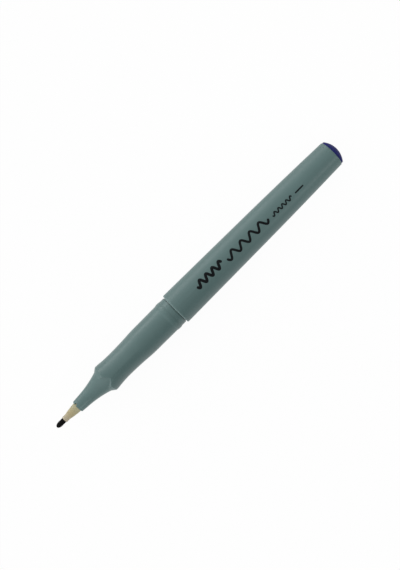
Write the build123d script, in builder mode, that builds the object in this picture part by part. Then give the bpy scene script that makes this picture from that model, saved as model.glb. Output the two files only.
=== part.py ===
from build123d import *
from math import degrees, radians, tan
import os

os.makedirs("parts", exist_ok=True)

# A fineliner without its cap, lying on its side. The point looks along -X and the tail along +X.
# Stations run along the pen from the tip of the nib, and radii are measured from the pen's axis.

# Fits: gaps on the radius, and one along the axis
push_gap = 0.05
film_gap = 0.10
end_gap = 0.10

# Nib: a fibre rod with a bullet end, pointed where it enters the reservoir
nib_r = 0.94
nib_reach = 3.55
nib_bullet_length = 1.6
nib_length = 33.0
nib_point_length = 0.7

# Nib holder: thin lip, crowned cone, plain shank
holder_lip_wall = 0.14
holder_lip_length = 1.55
holder_cone_length = 4.6
holder_cone_crown = 0.09
holder_r = 1.76
holder_shank_length = 10.5

# Nose of the front section, up to the step at the front of the grip
nose_mouth_r = 2.22
nose_mouth_bevel = 0.20
nose_length = 3.3
nose_end_r = 2.47
flare_length = 8.4
flare_end_r = 4.10
step_length = 1.55
vent_count = 3
vent_r = 0.28
vent_roll = -27.0
vent_notch_width = 0.8
vent_notch_length = 0.7

# Grip: a slim cone with three scooped faces. Rolls are turned from the top towards -Y.
grip_length = 28.2
grip_taper = 0.17
face_count = 3
ridge_roll = 10.5
face_depth = 0.43
face_crown_r = 5.4
face_front_bend_r = 35.0
face_rear_bend_r = 105.0
face_waist_run = 6.35
notch_slope = 53.0
notch_fall = 34.0

# Cap ridge, neck and the spigot inside the barrel
cap_ridge_height = 0.18
cap_ridge_land = 0.9
cap_ridge_ramp = 0.8
neck_length = 1.95
spigot_length = 12.0
spigot_chamfer = 0.5

# Bores of the front section
passage_gap = 0.35
passage_length = 4.6

# Barrel: outside a straight taper that runs into an arc, inside a tapered bore with ribs
barrel_length = 73.25
barrel_taper_length = 36.6
barrel_front_r = 6.00
barrel_middle_r = 5.60
barrel_tail_r = 4.85
barrel_front_wall = 1.20
barrel_tail_wall = 0.90
barrel_front_bevel = 0.18
barrel_tail_bevel = 0.25
rim_step = 0.63
socket_step = 0.25
socket_relief = 0.5
rib_count = 6
rib_roll = 30.0
rib_width = 0.7
rib_front_run = 2.0
rib_tail_run = 1.5
rib_root = 0.25

# Ink reservoir: a fibre rod in a film sleeve
reservoir_r = 3.00
film_thickness = 0.10
film_fit = 0.02

# End plug: a domed head on a hollow spigot
plug_spigot_length = 9.4
plug_wall = 1.2
plug_chamfer = 0.4
plug_floor = 1.0
plug_head_inset = 0.25
plug_head_edge = 0.60
plug_dome_height = 1.65

# Stations
holder_front = nib_reach
cone_front = holder_front + holder_lip_length
mouth = cone_front + holder_cone_length
holder_seat = mouth + holder_shank_length
nose_end = mouth + nose_length
flare_end = nose_end + flare_length
lip = flare_end + step_length
grip_end = lip + grip_length
ridge_front = grip_end + cap_ridge_ramp
ridge_rear = ridge_front + cap_ridge_land
neck_front = ridge_rear + cap_ridge_ramp
rim = neck_front + neck_length
spigot_end = rim + spigot_length
socket_end = spigot_end + socket_relief
tail = rim + barrel_length
plug_end = tail - plug_spigot_length
overall = tail + plug_head_edge + plug_dome_height

# Radii and places that follow from fits
nib_bore_r = nib_r + push_gap
holder_socket_r = holder_r + push_gap
film_r = reservoir_r + film_fit + film_thickness
chamber_r = film_r + film_gap
passage_r = nib_r + passage_gap
chamber_front = holder_seat + passage_length
chamber_shoulder = chamber_front + chamber_r - passage_r
reservoir_front = chamber_shoulder
reservoir_rear = plug_end - end_gap
socket_r = barrel_front_r - barrel_front_wall
spigot_r = socket_r - push_gap
bore_front_r = socket_r - socket_step
neck_r = barrel_front_r - rim_step
cap_ridge_r = neck_r + cap_ridge_height
grip_front_r = neck_r - grip_taper
face_waist_r = grip_front_r - face_depth
notch_reach = 2 * grip_front_r
tail_socket_r = barrel_tail_r - barrel_tail_wall
tail_socket_front = plug_end - end_gap
plug_spigot_r = tail_socket_r - push_gap
plug_head_r = barrel_tail_r - plug_head_inset

# The pen's axis, and the plane through it whose coordinates are station and radius
tip = Vector(-overall / 2, 0, barrel_front_r)
pen_axis = Axis(tip, (1, 0, 0))
side = Plane(tip, x_dir=(1, 0, 0), z_dir=(0, -1, 0))


def rolled(angle):
    """The side plane turned about the pen's axis, from the top towards -Y."""
    return side.rotated((angle, 0, 0))


def across(plane, station):
    """The plane square to the pen at a station, with its Y along the given plane's radius."""
    return Plane(plane.from_local_coords((station, 0, 0)), x_dir=-plane.z_dir, z_dir=plane.x_dir)


# Nib
with BuildPart() as nib:
    with BuildSketch(side):
        with BuildLine():
            EllipticalCenterArc((nib_bullet_length, 0), nib_bullet_length, nib_r, 90, arc_size=90)
            Polyline(
                (nib_bullet_length, nib_r),
                (nib_length - nib_point_length, nib_r),
                (nib_length, 0),
                (0, 0),
            )
        make_face()
    revolve(axis=pen_axis)
nib.part.label = "nib"
export_step(nib.part, "parts/nib.step")

# Nib holder
holder_lip_r = nib_bore_r + holder_lip_wall
cone_middle = (cone_front + mouth) / 2
cone_middle_r = (holder_lip_r + holder_r) / 2 + holder_cone_crown
with BuildPart() as nib_holder:
    with BuildSketch(side):
        with BuildLine():
            Line((holder_front, holder_lip_r), (cone_front, holder_lip_r))
            ThreePointArc((cone_front, holder_lip_r), (cone_middle, cone_middle_r), (mouth, holder_r))
            Polyline(
                (mouth, holder_r),
                (holder_seat, holder_r),
                (holder_seat, nib_bore_r),
                (holder_front, nib_bore_r),
                (holder_front, holder_lip_r),
            )
        make_face()
    revolve(axis=pen_axis)
nib_holder.part.label = "nib_holder"
export_step(nib_holder.part, "parts/nib_holder.step")

# Front section: its outside is turned, then its lip is notched and the finger faces are scooped
face_waist = lip + face_waist_run
face_front_swing = degrees((face_waist - flare_end) / face_front_bend_r)
face_rear_swing = degrees((grip_end - face_waist) / 2 / face_rear_bend_r)
with BuildPart() as grip_section:
    with BuildSketch(side):
        with BuildLine():
            nose = Line((mouth, nose_mouth_r), (nose_end, nose_end_r))
            flare = TangentArc(nose @ 1, (flare_end, flare_end_r), tangent=nose % 1)
            Polyline(
                (flare_end, flare_end_r),
                (lip, grip_front_r),
                (grip_end, neck_r),
                (ridge_front, cap_ridge_r),
                (ridge_rear, cap_ridge_r),
                (neck_front, neck_r),
                (rim, neck_r),
                (rim, spigot_r),
                (spigot_end - spigot_chamfer, spigot_r),
                (spigot_end, spigot_r - spigot_chamfer),
                (spigot_end, 0),
                (mouth, 0),
                (mouth, nose_mouth_r),
            )
        make_face()
    revolve(axis=pen_axis)
    chamfer(grip_section.edges().group_by(Axis.X)[0], nose_mouth_bevel)

    # At each ridge a shallow V notch in the lip bares the flare, which runs on under the lip as a cone
    cone_foot = flare @ 1
    cone_run = flare % 1
    cone_end = cone_foot + cone_run * notch_reach
    cone_top = cone_foot + cone_run * ((grip_front_r - flare_end_r) / cone_run.Y)
    notch_side = (notch_reach, notch_reach * tan(radians(notch_fall)))
    for ridge in range(face_count):
        ridge_side = rolled(ridge_roll + 360 / face_count * ridge)
        notch_line = ridge_side.shift_origin(ridge_side.from_local_coords(cone_top)).rotated((0, 0, notch_slope))
        with BuildPart(mode=Mode.SUBTRACT):
            with BuildSketch(side):
                Polygon(cone_foot, cone_end, (cone_foot.X, cone_end.Y), align=None)
            revolve(axis=pen_axis)
            with BuildSketch(across(notch_line, 0)):
                Polygon((0, 0), notch_side, (0, notch_reach), (-notch_side[0], notch_side[1]), align=None)
            extrude(amount=notch_reach, both=True, mode=Mode.INTERSECT)

    # Each finger face is crowned across and hollow along the grip, tighter in front of its waist
    for face in range(face_count):
        face_side = rolled(ridge_roll + 360 / face_count * (face + 0.5))
        for bend_r, swing in ((face_front_bend_r, -face_front_swing), (face_rear_bend_r, face_rear_swing)):
            hinge = face_side.from_local_coords((face_waist, face_waist_r + bend_r, 0))
            with BuildSketch(across(face_side, face_waist)):
                with Locations((0, face_crown_r)):
                    Rectangle(2 * face_crown_r, 2 * face_crown_r - face_waist_r)
                with Locations((0, face_waist_r - face_crown_r)):
                    Circle(face_crown_r, mode=Mode.SUBTRACT)
            revolve(axis=Axis(hinge, face_side.z_dir), revolution_arc=swing, mode=Mode.SUBTRACT)

    # Stepped bore: holder, nib passage, cone and reservoir chamber
    with BuildSketch(side):
        with BuildLine():
            Polyline(
                (mouth, 0),
                (mouth, holder_socket_r),
                (holder_seat, holder_socket_r),
                (holder_seat, passage_r),
                (chamber_front, passage_r),
                (chamber_shoulder, chamber_r),
                (spigot_end, chamber_r),
                (spigot_end, 0),
                close=True,
            )
        make_face()
    revolve(axis=pen_axis, mode=Mode.SUBTRACT)

    # Air vents run along the holder bore into the chamber, and each opens in a notch at the mouth
    vent_plane = across(rolled(vent_roll), mouth)
    with BuildSketch(vent_plane):
        with PolarLocations(holder_socket_r, vent_count, start_angle=90):
            Circle(vent_r)
    extrude(amount=chamber_shoulder - mouth, mode=Mode.SUBTRACT)
    with BuildSketch(vent_plane):
        with PolarLocations(nose_mouth_r, vent_count, start_angle=90):
            Rectangle(2 * (nose_mouth_r - holder_socket_r), vent_notch_width)
    extrude(amount=vent_notch_length, mode=Mode.SUBTRACT)
grip_section.part.label = "grip_section"
export_step(grip_section.part, "parts/grip_section.step")

# Barrel
rib_front = socket_end + rib_front_run
rib_rear = tail_socket_front - rib_tail_run
bore_slope = (tail_socket_r - bore_front_r) / (tail_socket_front - socket_end)
rib_front_root_r = bore_front_r + bore_slope * rib_front_run + rib_root
rib_rear_root_r = tail_socket_r - bore_slope * rib_tail_run + rib_root
with BuildPart() as barrel:
    with BuildSketch(side) as barrel_wall:
        with BuildLine():
            taper = Line((rim, barrel_front_r), (rim + barrel_taper_length, barrel_middle_r))
            TangentArc(taper @ 1, (tail, barrel_tail_r), tangent=taper % 1)
            Polyline(
                (tail, barrel_tail_r),
                (tail, tail_socket_r),
                (tail_socket_front, tail_socket_r),
                (socket_end, bore_front_r),
                (socket_end, socket_r),
                (rim, socket_r),
                (rim, barrel_front_r),
            )
        make_face()
        chamfer(barrel_wall.vertices().group_by(Axis.X)[0].sort_by(Axis.Y)[-1], barrel_front_bevel)
        chamfer(barrel_wall.vertices().group_by(Axis.X)[-1].sort_by(Axis.Y)[-1], barrel_tail_bevel)
    revolve(axis=pen_axis)

    # Ribs stand in the bore and keep the reservoir in the middle
    for rib in range(rib_count):
        with BuildSketch(rolled(rib_roll + 360 / rib_count * rib)):
            with BuildLine():
                Polyline(
                    (rib_front, chamber_r),
                    (rib_rear, chamber_r),
                    (rib_rear, rib_rear_root_r),
                    (rib_front, rib_front_root_r),
                    close=True,
                )
            make_face()
        extrude(amount=rib_width / 2, both=True)
barrel.part.label = "barrel"
export_step(barrel.part, "parts/barrel.step")

# Ink reservoir, with the hole that the nib's tail has pressed into it
nib_hole_end = nib_length + end_gap
with BuildPart() as ink_reservoir:
    with BuildSketch(side):
        with BuildLine():
            Polyline(
                (reservoir_front, nib_bore_r),
                (reservoir_front, reservoir_r),
                (reservoir_rear, reservoir_r),
                (reservoir_rear, 0),
                (nib_hole_end, 0),
                (nib_hole_end - nib_point_length, nib_bore_r),
                close=True,
            )
        make_face()
    revolve(axis=pen_axis)
ink_reservoir.part.label = "ink_reservoir"
export_step(ink_reservoir.part, "parts/ink_reservoir.step")

# Film sleeve round the reservoir
with BuildPart() as reservoir_wrap:
    with BuildSketch(across(side, reservoir_front)):
        Circle(film_r)
        Circle(film_r - film_thickness, mode=Mode.SUBTRACT)
    extrude(amount=reservoir_rear - reservoir_front)
reservoir_wrap.part.label = "reservoir_wrap"
export_step(reservoir_wrap.part, "parts/reservoir_wrap.step")

# End plug
plug_bore_r = plug_spigot_r - plug_wall
dome_base = tail + plug_head_edge
with BuildPart() as end_plug:
    with BuildSketch(side):
        with BuildLine():
            RadiusArc(
                (dome_base, plug_head_r),
                (overall, 0),
                (plug_head_r**2 + plug_dome_height**2) / (2 * plug_dome_height),
            )
            Polyline(
                (overall, 0),
                (tail - plug_floor, 0),
                (tail - plug_floor, plug_bore_r),
                (plug_end, plug_bore_r),
                (plug_end, plug_spigot_r - plug_chamfer),
                (plug_end + plug_chamfer, plug_spigot_r),
                (tail, plug_spigot_r),
                (tail, plug_head_r),
                (dome_base, plug_head_r),
            )
        make_face()
    revolve(axis=pen_axis)
end_plug.part.label = "end_plug"
export_step(end_plug.part, "parts/end_plug.step")
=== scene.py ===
import math

import bpy
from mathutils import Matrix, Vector


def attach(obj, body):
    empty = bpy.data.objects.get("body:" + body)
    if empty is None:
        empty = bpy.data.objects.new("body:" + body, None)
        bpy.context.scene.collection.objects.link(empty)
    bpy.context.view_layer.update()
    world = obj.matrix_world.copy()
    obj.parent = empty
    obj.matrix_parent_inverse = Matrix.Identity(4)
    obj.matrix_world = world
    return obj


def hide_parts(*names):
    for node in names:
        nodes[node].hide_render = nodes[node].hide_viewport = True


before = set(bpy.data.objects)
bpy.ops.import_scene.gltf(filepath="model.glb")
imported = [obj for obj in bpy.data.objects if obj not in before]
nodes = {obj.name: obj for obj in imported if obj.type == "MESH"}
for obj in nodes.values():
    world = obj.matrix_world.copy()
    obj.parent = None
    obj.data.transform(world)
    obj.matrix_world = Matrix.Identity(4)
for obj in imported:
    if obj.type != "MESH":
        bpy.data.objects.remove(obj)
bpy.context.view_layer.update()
scene = bpy.context.scene
scene.view_settings.view_transform = "Standard"

# Stations run along the pen from the tip of the nib, in mm, and rolls from the top towards -Y, in degrees
MM = 0.001
PEN_LENGTH = 131.1
AXIS_HEIGHT = 6.0

# Front section, from the mouth of its nose to the end of its spigot
MOUTH, NOSE_END, FLARE_END, LIP = 9.7, 13.0, 21.4, 22.95
GRIP_END, RIDGE_FRONT, RIDGE_REAR, NECK_FRONT, RIM = 51.15, 51.95, 52.85, 53.65, 55.6
MOUTH_R, NOSE_END_R, FLARE_END_R, LIP_R, NECK_R, RIDGE_R = 2.22, 2.47, 4.10, 5.20, 5.37, 5.55
MOUTH_ROUND = 0.20
SOCKET_R, SOCKET_END, PASSAGE_R, CHAMBER_FRONT, CHAMBER_R = 1.81, 20.2, 1.29, 24.8, 3.22
SPIGOT_R, SPIGOT_END, SPIGOT_CHAMFER = 4.75, 67.6, 0.5
RIDGE_ROLL, FACE_COUNT = 10.5, 3
LIP_NOTCH_SLOPE, LIP_NOTCH_FALL = math.radians(53.0), math.radians(34.0)
FACE_WAIST, FACE_WAIST_R, FACE_CROWN_R, FACE_FRONT_BEND, FACE_REAR_BEND = 29.3, 4.77, 5.4, 35.0, 105.0
VENT_ROLL, VENT_COUNT, VENT_R, VENT_NOTCH_WIDTH, VENT_NOTCH_END = -27.0, 3, 0.28, 0.8, 10.4
JOINT_WIDTH, JOINT_DEPTH = 0.38, 0.24

# Barrel: a taper, then a long arc
TAPER_END, TAPER_END_R, BARREL_FRONT_R, BARREL_BEND_R = 92.2, 5.60, 6.00, 1922.7


def frame_x(station):
    """The frame's X at a station, in metres."""
    return (station - PEN_LENGTH / 2) * MM


def place(station, radius, roll):
    """The point of the frame at a station, a radius from the pen's axis and a roll."""
    turn = math.radians(roll)
    return (
        frame_x(station),
        -radius * math.sin(turn) * MM,
        (AXIS_HEIGHT + radius * math.cos(turn)) * MM,
    )


# Camera: the photograph looks straight down on the pen, which lies along the picture's diagonal
IMAGE_HEIGHT = 570
PIXELS_PER_MM = 3.01
PEN_TURN = math.radians(44.908)
CAMERA_ABOVE_AXIS = 380.0
CAMERA_X, CAMERA_Y = 1.47, -0.07
SENSOR_MM = 36.0
CLIP_START = 0.01

camera_data = bpy.data.cameras.new("camera")
camera_data.sensor_fit = "VERTICAL"
camera_data.sensor_height = SENSOR_MM
camera_data.lens = SENSOR_MM * CAMERA_ABOVE_AXIS / (IMAGE_HEIGHT / PIXELS_PER_MM)
camera_data.clip_start = CLIP_START
camera = bpy.data.objects.new("camera", camera_data)
camera.location = (CAMERA_X * MM, CAMERA_Y * MM, (AXIS_HEIGHT + CAMERA_ABOVE_AXIS) * MM)
camera.rotation_euler = (0, 0, -PEN_TURN)
scene.collection.objects.link(camera)
scene.camera = camera


class Nodes:
    """A short way to add and link the nodes of one material or world."""

    def __init__(self, owner):
        owner.use_nodes = True
        self.tree = owner.node_tree

    def add(self, kind, links=None, values=None, **settings):
        """Adds a node, sets its properties, then its socket values and links by socket name."""
        node = self.tree.nodes.new(kind)
        for name, value in settings.items():
            setattr(node, name, value)
        for name, value in (values or {}).items():
            self.socket(node.inputs, name).default_value = value
        for name, source in (links or {}).items():
            self.link(source, node, name)
        return node

    def add_ramp(self, source, stops, interpolation="LINEAR"):
        """Adds a colour ramp with these stops, each a position from 0 to 1 and a colour."""
        ramp = self.add("ShaderNodeValToRGB", {"Fac": source})
        ramp.color_ramp.interpolation = interpolation
        elements = ramp.color_ramp.elements
        while len(elements) < len(stops):
            elements.new(1.0)
        for element, (position, colour) in zip(elements, stops):
            element.position = position
            element.color = (*colour, 1)
        return ramp.outputs["Color"]

    def link(self, source, node, name):
        """Links a source to a named input of a node."""
        self.tree.links.new(source, self.socket(node.inputs, name))

    @staticmethod
    def socket(sockets, name):
        """The socket of that name, or at that place, that the node has switched on."""
        if isinstance(name, int):
            return sockets[name]
        return next(socket for socket in sockets if socket.name == name and socket.enabled)


# Materials
CLOUD_DETAIL = 3.0
SHEEN_SWING = 0.04
GRAIN_SCALE, GRAIN_DETAIL, GRAIN_STRENGTH = 9000.0, 2.0, 0.35
WHITE = (1, 1, 1, 1)


def surface(
    name,
    stops,
    roughness,
    specular=0.5,
    mottle=0.05,
    cloud_scale=260.0,
    grain_depth=0.012,
    stretch=(1, 1, 1),
):
    """A material with colour stops along the pen, soft mottling, an uneven sheen and a fine grain.

    Each stop is a station in mm and a colour. The grain's depth is in mm.
    Stretch widens the patterns along an axis where it is below 1."""
    made = bpy.data.materials.new(name)
    graph = Nodes(made)
    shader = graph.tree.nodes["Principled BSDF"]
    shader.inputs["Specular IOR Level"].default_value = specular
    spot = graph.add("ShaderNodeTexCoord").outputs["Object"]
    along = graph.add("ShaderNodeSeparateXYZ", {"Vector": spot}).outputs["X"]
    first, last = stops[0][0], stops[-1][0]
    run = graph.add(
        "ShaderNodeMapRange",
        {"Value": along},
        {"From Min": frame_x(first), "From Max": frame_x(last)},
    )
    colour = graph.add_ramp(
        run.outputs["Result"],
        [((station - first) / (last - first), shade) for station, shade in stops],
    )
    spread = graph.add("ShaderNodeMapping", {"Vector": spot}, {"Scale": stretch}).outputs["Vector"]
    cloud = graph.add(
        "ShaderNodeTexNoise",
        {"Vector": spread},
        {"Scale": cloud_scale, "Detail": CLOUD_DETAIL},
    ).outputs["Fac"]
    patches = graph.add("ShaderNodeMapRange", {"Value": cloud}, {"To Min": 1 - mottle, "To Max": 1 + mottle})
    tint = graph.add(
        "ShaderNodeVectorMath",
        {0: colour, "Scale": patches.outputs["Result"]},
        operation="SCALE",
    )
    sheen = graph.add(
        "ShaderNodeMapRange",
        {"Value": cloud},
        {"To Min": roughness - SHEEN_SWING, "To Max": roughness + SHEEN_SWING},
    )
    grain = graph.add(
        "ShaderNodeTexNoise",
        {"Vector": spread},
        {"Scale": GRAIN_SCALE, "Detail": GRAIN_DETAIL},
    )
    bump = graph.add(
        "ShaderNodeBump",
        {"Height": grain.outputs["Fac"]},
        {"Strength": GRAIN_STRENGTH, "Distance": grain_depth * MM},
    )
    graph.link(tint.outputs["Vector"], shader, "Base Color")
    graph.link(sheen.outputs["Result"], shader, "Roughness")
    graph.link(bump.outputs["Normal"], shader, "Normal")
    return made


def plain(colour):
    """Stops of one colour along the whole pen."""
    return ((0.0, colour), (PEN_LENGTH, colour))


BODY_COLOUR = (0.080, 0.143, 0.139)
# Painted highlight: the rim colour is lighter than the body and stands in for the light caught on the
# rounded front edge of the barrel's rim
RIM_HIGHLIGHT_COLOUR = (0.125, 0.20, 0.195)
PLUG_COLOUR = (0.019, 0.022, 0.115)
NIB_COLOUR = (0.003, 0.003, 0.003)
INK_COLOUR = (0.002, 0.003, 0.004)
# Along the barrel: the painted rim highlight from the rim to 55.95 mm, then the body colour to the tail
BARREL_STOPS = ((RIM, RIM_HIGHLIGHT_COLOUR), (55.95, RIM_HIGHLIGHT_COLOUR), (56.1, BODY_COLOUR), (128.9, BODY_COLOUR))
HOLDER_STOPS = (
    (3.55, (0.42, 0.37, 0.27)),
    (5.0, (0.38, 0.33, 0.215)),
    (6.6, (0.355, 0.30, 0.16)),
    (9.0, (0.355, 0.33, 0.195)),
    (SOCKET_END, (0.36, 0.345, 0.22)),
)
RESERVOIR_STOPS = (
    (26.8, (0.006, 0.006, 0.007)),
    (40.0, (0.012, 0.012, 0.014)),
    (119.8, (0.02, 0.02, 0.024)),
)
WRAP_STOPS = ((26.8, (0.45, 0.46, 0.46)), (119.8, (0.72, 0.73, 0.72)))

grip_look = surface("grip", plain(BODY_COLOUR), roughness=0.36)
ink_look = surface("ink", plain(INK_COLOUR), roughness=0.5, specular=0.12, mottle=0.3)
looks = {
    "nib": surface(
        "nib",
        plain(NIB_COLOUR),
        roughness=0.7,
        specular=0.07,
        mottle=0.5,
        cloud_scale=6000.0,
        grain_depth=0.05,
        stretch=(0.08, 1, 1),
    ),
    "nib_holder": surface("holder", HOLDER_STOPS, roughness=0.4, grain_depth=0.004),
    "grip_section": grip_look,
    "barrel": surface("barrel", BARREL_STOPS, roughness=0.42, stretch=(0.3, 1, 1)),
    "end_plug": surface("plug", plain(PLUG_COLOUR), roughness=0.4, specular=0.02),
    "ink_reservoir": surface(
        "reservoir",
        RESERVOIR_STOPS,
        roughness=0.85,
        specular=0.2,
        mottle=0.4,
        cloud_scale=3000.0,
        grain_depth=0.06,
        stretch=(0.05, 1, 1),
    ),
    "reservoir_wrap": surface("wrap", WRAP_STOPS, roughness=0.2, mottle=0.08, stretch=(0.2, 1, 1)),
}
for name, look in looks.items():
    nodes[name].data.materials.clear()
    nodes[name].data.materials.append(look)

SHARP_ANGLE = math.radians(50)


def finished(name, points, faces, look, body):
    """A smooth-shaded mesh object that rides on a body of the frame."""
    mesh = bpy.data.meshes.new(name)
    mesh.from_pydata(points, [], faces)
    mesh.shade_smooth()
    mesh.set_sharp_from_angle(angle=SHARP_ANGLE)
    mesh.materials.append(look)
    made = bpy.data.objects.new(name, mesh)
    scene.collection.objects.link(made)
    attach(made, body)
    return made


# Front section: its outside is a radius at each station and roll, inside it is turned
STATION_STEP, ROLL_STEP, MOUTH_ARC_STEPS = 0.14, 2.0, 6
EDGE_BLEND = 0.09
CORNER_REACH = 0.3
CORNER_OFFSETS = (-1.0, -0.6, -0.25, 0.0, 0.25, 0.6, 1.0)
CORNER_WEIGHTS = (0.06, 0.14, 0.19, 0.22, 0.19, 0.14, 0.06)
LIP_LEAD = 0.5
LEAST_SPREAD = 0.05
SHORT_STEP, THIN_STEP = 0.05, 0.02
VENT_NOTCH_WALL = 0.3
VENT_REACH = 0.5
TURN_SLACK = 1e-6

nose_slope = math.atan2(NOSE_END_R - MOUTH_R, NOSE_END - MOUTH)
flare_chord = math.atan2(FLARE_END_R - NOSE_END_R, FLARE_END - NOSE_END)
flare_sweep = 2 * (flare_chord - nose_slope)
flare_length = math.hypot(FLARE_END - NOSE_END, FLARE_END_R - NOSE_END_R)
flare_radius = flare_length / (2 * math.sin(flare_sweep / 2))
cone_slope = math.tan(nose_slope + flare_sweep)
cone_top = FLARE_END + (LIP_R - FLARE_END_R) / cone_slope
lip_slope = (LIP_R - FLARE_END_R) / (LIP - FLARE_END)
ridges = [RIDGE_ROLL + 360 / FACE_COUNT * number for number in range(FACE_COUNT)]
vents = [(VENT_ROLL + 360 / VENT_COUNT * number) % 360 for number in range(VENT_COUNT)]


def core(station):
    """Radius of the nose and flare, and of the cone that the flare runs on into under the lip."""
    if station <= NOSE_END:
        return MOUTH_R + (station - MOUTH) * math.tan(nose_slope)
    if station <= FLARE_END:
        slope = math.asin(math.sin(nose_slope) + (station - NOSE_END) / flare_radius)
        return NOSE_END_R + flare_radius * (math.cos(nose_slope) - math.cos(slope))
    return FLARE_END_R + cone_slope * (station - FLARE_END)


def turned(station):
    """Radius of the grip's cone, the cap ridge and the neck, with the cone carried on to the front."""
    corners = (
        (LIP, LIP_R),
        (GRIP_END, NECK_R),
        (RIDGE_FRONT, RIDGE_R),
        (RIDGE_REAR, RIDGE_R),
        (NECK_FRONT, NECK_R),
        (RIM, NECK_R),
    )
    for (start, start_r), (end, end_r) in zip(corners, corners[1:]):
        if station <= end:
            return start_r + (end_r - start_r) * (station - start) / (end - start)
    return NECK_R


def softened(station):
    """The turned radius, averaged a little along the pen so that its corners are rounded."""
    reach = min(CORNER_REACH, max(RIM - station, 0))
    return sum(
        weight * turned(station + reach * offset) for offset, weight in zip(CORNER_OFFSETS, CORNER_WEIGHTS)
    )


def lower(first, second):
    """The smaller of two radii, rounded off where they cross."""
    overlap = max(EDGE_BLEND - abs(first - second), 0) / EDGE_BLEND
    return min(first, second) - overlap * overlap * EDGE_BLEND / 4


def upper(first, second):
    """The larger of two radii, rounded off where they cross."""
    return -lower(-first, -second)


def apart(roll, other):
    """The angle between two rolls, from -180 to 180 degrees, in radians."""
    return math.radians((roll - other + 180) % 360 - 180)


def shaped(station, roll):
    """Radius of the front section's outside, with its notched lip, finger faces and joint groove."""
    radius = core(station)
    if station > FLARE_END - LIP_LEAD:
        turn = min(abs(apart(roll, ridge)) for ridge in ridges)
        spread = math.cos(turn) - math.tan(LIP_NOTCH_FALL) / math.cos(LIP_NOTCH_SLOPE) * math.sin(turn)
        height = LIP_R + math.tan(LIP_NOTCH_SLOPE) * (station - cone_top)
        side = height / spread if spread > LEAST_SPREAD else math.inf
        front = FLARE_END_R + lip_slope * (station - FLARE_END)
        radius = lower(softened(station), upper(radius, lower(front, side)))
    if FLARE_END < station < GRIP_END:
        bend = FACE_FRONT_BEND if station < FACE_WAIST else FACE_REAR_BEND
        lift = bend - math.sqrt(bend**2 - (station - FACE_WAIST) ** 2)
        shift = FACE_CROWN_R - FACE_WAIST_R - lift
        turn = min(abs(apart(roll, ridge + 180 / FACE_COUNT)) for ridge in ridges)
        face = math.sqrt(FACE_CROWN_R**2 - (shift * math.sin(turn)) ** 2) - shift * math.cos(turn)
        radius = lower(radius, face)
    if station > RIM - JOINT_WIDTH:
        radius -= JOINT_DEPTH
    return radius


def grip_loop():
    """A lengthwise section as a loop of stations and radii, with None where shaped() gives the radius.

    Also returns where the stretch that is shaped starts in the loop, and where it has ended."""
    loop = [(MOUTH, SOCKET_R + THIN_STEP), (MOUTH, (SOCKET_R + MOUTH_R - MOUTH_ROUND) / 2)]
    for number in range(MOUTH_ARC_STEPS, -1, -1):
        turn = math.radians(90 / MOUTH_ARC_STEPS * number)
        loop.append((
            MOUTH + MOUTH_ROUND * (1 - math.sin(turn)),
            core(MOUTH + MOUTH_ROUND) - MOUTH_ROUND * (1 - math.cos(turn)),
        ))
    shaped_from = len(loop)
    start, end = MOUTH + MOUTH_ROUND + SHORT_STEP, RIM - JOINT_WIDTH
    count = round((end - start) / STATION_STEP)
    loop += [(start + (end - start) * number / count, None) for number in range(count)]
    loop += [(end, None), (end + THIN_STEP, None), (RIM, None)]
    shaped_to = len(loop)
    loop += [
        (RIM, SPIGOT_R),
        (SPIGOT_END - SPIGOT_CHAMFER, SPIGOT_R),
        (SPIGOT_END, SPIGOT_R - SPIGOT_CHAMFER),
        (SPIGOT_END, CHAMBER_R),
        (CHAMBER_FRONT + CHAMBER_R - PASSAGE_R, CHAMBER_R),
        (CHAMBER_FRONT, PASSAGE_R),
        (SOCKET_END, PASSAGE_R),
        (SOCKET_END, SOCKET_R),
        (SOCKET_END - SHORT_STEP, SOCKET_R),
        (VENT_NOTCH_END + SHORT_STEP, SOCKET_R),
        (VENT_NOTCH_END, SOCKET_R),
    ]
    return loop, shaped_from, shaped_to


def grip_mesh():
    """Points and faces of the front section: its loop at each roll, cut back at the vents."""
    loop, shaped_from, shaped_to = grip_loop()
    notch_half = math.degrees(math.asin(VENT_NOTCH_WIDTH / 2 / MOUTH_R))
    rolls = {ROLL_STEP * number for number in range(round(360 / ROLL_STEP))}
    for vent in vents:
        for edge in (notch_half, notch_half + VENT_NOTCH_WALL):
            rolls.update(((vent - edge) % 360, (vent + edge) % 360))
    rolls = sorted(rolls)

    points = []
    for roll in rolls:
        vent_turn = min(abs(apart(roll, vent)) for vent in vents)
        notched = vent_turn <= math.radians(notch_half) + TURN_SLACK
        channel = VENT_R**2 - (SOCKET_R * math.sin(vent_turn)) ** 2 if vent_turn < VENT_REACH else -1
        for index, (station, radius) in enumerate(loop):
            if shaped_from <= index < shaped_to:
                radius = shaped(station, roll)
            if notched and station < VENT_NOTCH_END:
                station = VENT_NOTCH_END
                if index < shaped_from:
                    radius = min(radius, shaped(VENT_NOTCH_END, roll))
            if channel > 0 and radius == SOCKET_R and station < SOCKET_END:
                radius = SOCKET_R * math.cos(vent_turn) + math.sqrt(channel)
            points.append(place(station, radius, roll))

    size = len(loop)
    faces = []
    for column in range(len(rolls)):
        here, there = column * size, (column + 1) % len(rolls) * size
        for index in range(size):
            follow = (index + 1) % size
            faces.append((here + index, there + index, there + follow, here + follow))
    return points, faces


grip = finished("grip_shell", *grip_mesh(), grip_look, "front")
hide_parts("grip_section")

# Print: a plain line sample of three waves and a straight line, as films on the barrel
FILM_RISE, FILM_ROOT = 0.015, 0.03
ROUTE_STEP = 0.06
LEAST_ROUNDING = 0.01
STROKES = (
    {"start": 65.8, "end": 77.4, "roll": -2.0, "width": 0.95, "swing": 1.05, "wave": 2.9},
    {"start": 79.2, "end": 98.1, "roll": 3.0, "width": 0.80, "swing": 1.20, "wave": 4.2},
    {"start": 99.8, "end": 108.8, "roll": 8.0, "width": 0.48, "swing": 0.55, "wave": 1.8},
    {"start": 110.3, "end": 114.1, "roll": 8.0, "width": 0.48, "swing": 0.0, "wave": 1.8},
)


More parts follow.
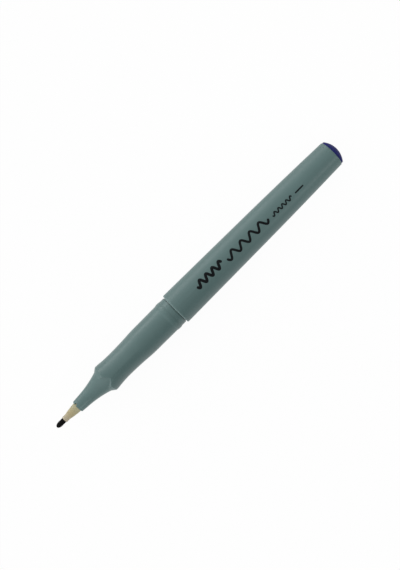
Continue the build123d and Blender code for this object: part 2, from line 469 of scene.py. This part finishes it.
def barrel_radius(station):
    """Radius of the barrel's outside: a taper, then a long arc that goes on from it."""
    slope = (TAPER_END_R - BARREL_FRONT_R) / (TAPER_END - RIM)
    bend = max(station - TAPER_END, 0) ** 2 / (2 * BARREL_BEND_R)
    return TAPER_END_R + slope * (station - TAPER_END) - bend


def stroke_route(stroke):
    """The middle line of a stroke: stations, and how far it swings across the pen there, in mm."""
    length = stroke["end"] - stroke["start"]
    count = round(length / ROUTE_STEP)
    route = []
    for step in range(count + 1):
        run = length * step / count
        turn = 2 * math.pi * run / stroke["wave"]
        route.append((stroke["start"] + run, stroke["swing"] * math.sin(turn)))
    return route


def stroke_mesh(stroke):
    """Points and faces of the film along a stroke, with rounded ends and its root in the barrel."""
    route = stroke_route(stroke)
    last = len(route) - 1
    half = stroke["width"] / 2
    total = sum(math.dist(here, there) for here, there in zip(route, route[1:]))
    walked = 0.0
    points = []
    for index, (station, offset) in enumerate(route):
        before, after = route[max(index - 1, 0)], route[min(index + 1, last)]
        reach = math.dist(before, after)
        along = ((after[0] - before[0]) / reach, (after[1] - before[1]) / reach)
        if index:
            walked += math.dist(before, route[index])
        to_end = min(walked, total - walked, half)
        width = half * math.sqrt(max(1 - (1 - to_end / half) ** 2, LEAST_ROUNDING))
        for rise in (FILM_RISE, -FILM_ROOT):
            for side in (-1, 0, 1):
                at = station - along[1] * width * side
                across_roll = math.degrees((offset + along[0] * width * side) / barrel_radius(at))
                points.append(place(at, barrel_radius(at) + rise, stroke["roll"] + across_roll))

    ring = (0, 1, 2, 5, 4, 3)
    size = len(ring)
    faces = []
    for index in range(last):
        here, there = size * index, size * (index + 1)
        for near, far in zip(ring, ring[1:] + ring[:1]):
            faces.append((here + near, here + far, there + far, there + near))
    faces.append(tuple(reversed(ring)))
    faces.append(tuple(size * last + corner for corner in ring))
    return points, faces


for number, stroke in enumerate(STROKES, 1):
    finished(f"print_stroke_{number}", *stroke_mesh(stroke), ink_look, "barrel")

# Floor: white to the camera, with the pen's shadow left in it
FLOOR_HALF = 2.0
PAPER_COLOUR = (0.9, 0.9, 0.9, 1)
WHITE_SHARE = 0.96

floor_mesh = bpy.data.meshes.new("floor")
floor_corners = [(x * FLOOR_HALF, y * FLOOR_HALF, 0) for x, y in ((-1, -1), (1, -1), (1, 1), (-1, 1))]
floor_mesh.from_pydata(floor_corners, [], [(0, 1, 2, 3)])
floor = bpy.data.objects.new("floor", floor_mesh)
scene.collection.objects.link(floor)
floor_look = bpy.data.materials.new("floor")
floor_graph = Nodes(floor_look)
floor_graph.tree.nodes.remove(floor_graph.tree.nodes["Principled BSDF"])
paper = floor_graph.add("ShaderNodeBsdfDiffuse", values={"Color": PAPER_COLOUR})
glow = floor_graph.add("ShaderNodeEmission", values={"Color": WHITE, "Strength": 1.0})
ray = floor_graph.add("ShaderNodeLightPath")
seen = floor_graph.add(
    "ShaderNodeMath",
    {0: ray.outputs["Is Camera Ray"], 1: ray.outputs["Is Glossy Ray"]},
    operation="MAXIMUM",
)
share = floor_graph.add("ShaderNodeMath", {0: seen.outputs["Value"]}, {1: WHITE_SHARE}, operation="MULTIPLY")
floor_shader = floor_graph.add(
    "ShaderNodeMixShader",
    {0: share.outputs["Value"], 1: paper.outputs["BSDF"], 2: glow.outputs["Emission"]},
)
floor_graph.link(floor_shader.outputs["Shader"], floor_graph.tree.nodes["Material Output"], "Surface")
floor_mesh.materials.append(floor_look)

# World: white to the camera, and as light a soft room, brightest on the far side and in front of the point.
# Each level has a place along one axis of the direction, from its minus end at 0 to its plus end at 1.
ROOM_ACROSS = (
    (0.0, 0.90),
    (0.045, 0.355),
    (0.20, 0.355),
    (0.36, 0.64),
    (0.55, 0.74),
    (0.80, 0.83),
    (0.95, 1.05),
    (1.0, 4.2),
)
ROOM_FRONT = ((0.0, 1.4), (0.12, 0.65), (0.35, 0.0))


def room_levels(graph, direction, levels):
    """Grey levels over one axis of the direction looked in."""
    run = graph.add("ShaderNodeMapRange", {"Value": direction}, {"From Min": -1.0, "From Max": 1.0})
    stops = [(position, (level, level, level)) for position, level in levels]
    return graph.add_ramp(run.outputs["Result"], stops, "EASE")


world = bpy.data.worlds.new("world")
scene.world = world
world_graph = Nodes(world)
toward = world_graph.add("ShaderNodeTexCoord").outputs["Generated"]
axes = world_graph.add("ShaderNodeSeparateXYZ", {"Vector": toward})
room = world_graph.add(
    "ShaderNodeVectorMath",
    {
        0: room_levels(world_graph, axes.outputs["Y"], ROOM_ACROSS),
        1: room_levels(world_graph, axes.outputs["X"], ROOM_FRONT),
    },
    operation="ADD",
)
room_light = world_graph.tree.nodes["Background"]
world_graph.link(room.outputs["Vector"], room_light, "Color")
backdrop = world_graph.add("ShaderNodeBackground", values={"Color": WHITE})
world_shader = world_graph.add(
    "ShaderNodeMixShader",
    {
        0: world_graph.add("ShaderNodeLightPath").outputs["Is Camera Ray"],
        1: room_light.outputs["Background"],
        2: backdrop.outputs["Background"],
    },
)
world_graph.link(world_shader.outputs["Shader"], world_graph.tree.nodes["World Output"], "Surface")

# Key lamp: a broad soft panel on the far side, with places and sizes in metres
KEY_Y, KEY_Z = 1.1, 0.7
KEY_LENGTH, KEY_HEIGHT = 1.4, 0.9
KEY_ENERGY = 1.3

key = bpy.data.lights.new("key", "AREA")
key.shape = "RECTANGLE"
key.size = KEY_LENGTH
key.size_y = KEY_HEIGHT
key.energy = KEY_ENERGY
key_object = bpy.data.objects.new("key", key)
key_object.location = (0, KEY_Y, KEY_Z)
key_object.rotation_euler = (-math.atan2(KEY_Y, KEY_Z), 0, 0)
scene.collection.objects.link(key_object)

# Fill lamps: soft pools over the nose and the tail from the near side, with cones in degrees
FILL_Y, FILL_Z = -0.30, 0.25
FILLS = (
    {"name": "nose_fill", "x": -0.100, "aim_x": -0.056, "cone": 4.0, "soft": 0.01, "energy": 1.3},
    {"name": "tail_fill", "x": 0.100, "aim_x": 0.066, "cone": 13.0, "soft": 0.04, "energy": 1.15},
)
for pool in FILLS:
    fill = bpy.data.lights.new(pool["name"], "SPOT")
    fill.spot_size = math.radians(pool["cone"])
    fill.spot_blend = 1.0
    fill.shadow_soft_size = pool["soft"]
    fill.energy = pool["energy"]
    fill_object = bpy.data.objects.new(pool["name"], fill)
    fill_object.location = (pool["x"], FILL_Y, FILL_Z)
    aim = Vector((pool["aim_x"] - pool["x"], -FILL_Y, AXIS_HEIGHT * MM - FILL_Z))
    fill_object.rotation_euler = aim.to_track_quat("-Z", "Y").to_euler()
    scene.collection.objects.link(fill_object)
